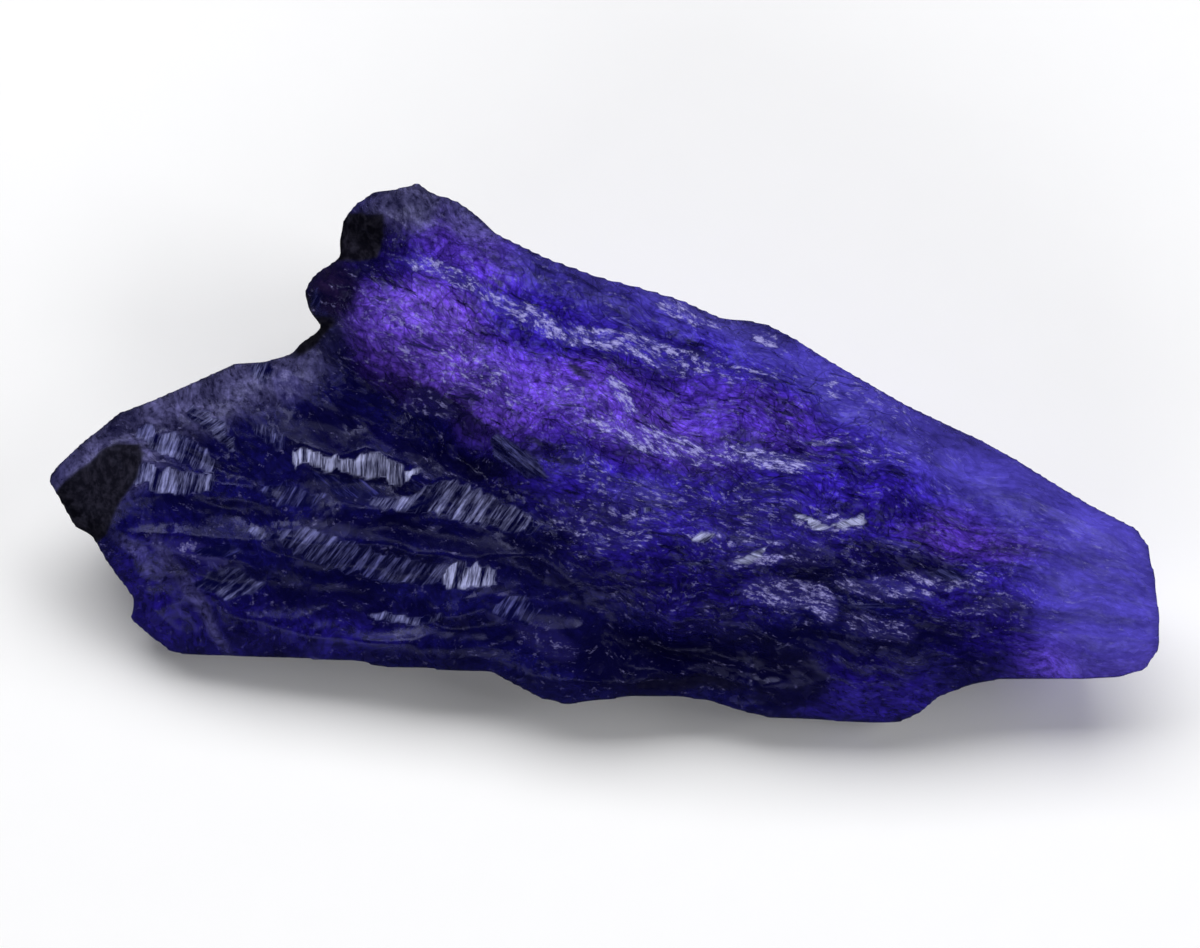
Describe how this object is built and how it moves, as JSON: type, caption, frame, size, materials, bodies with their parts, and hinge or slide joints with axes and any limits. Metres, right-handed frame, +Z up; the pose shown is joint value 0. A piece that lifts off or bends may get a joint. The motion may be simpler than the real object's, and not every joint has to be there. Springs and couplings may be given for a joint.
{
  "type": "rough tanzanite crystal",
  "caption": "Rough blue-violet tanzanite crystal: a broken, tapering, step-cleaved piece with a flat back that it rests on.",
  "frame": {"origin": "middle of the plan's bounding box, on the flat cleaved back that rests on the table", "axes": "+X along the stone to its tapered pale end, +Y away from the viewer towards the two column ends' side, +Z up through its thickness"},
  "size_m": [0.0556, 0.0268, 0.014],
  "materials": {
    "tanzanite": "broken crystal, satin to glassy, partly see-through"
  },
  "bodies": {
    "root": {"tanzanite_crystal": "tanzanite"}
  },
  "joints": []
}
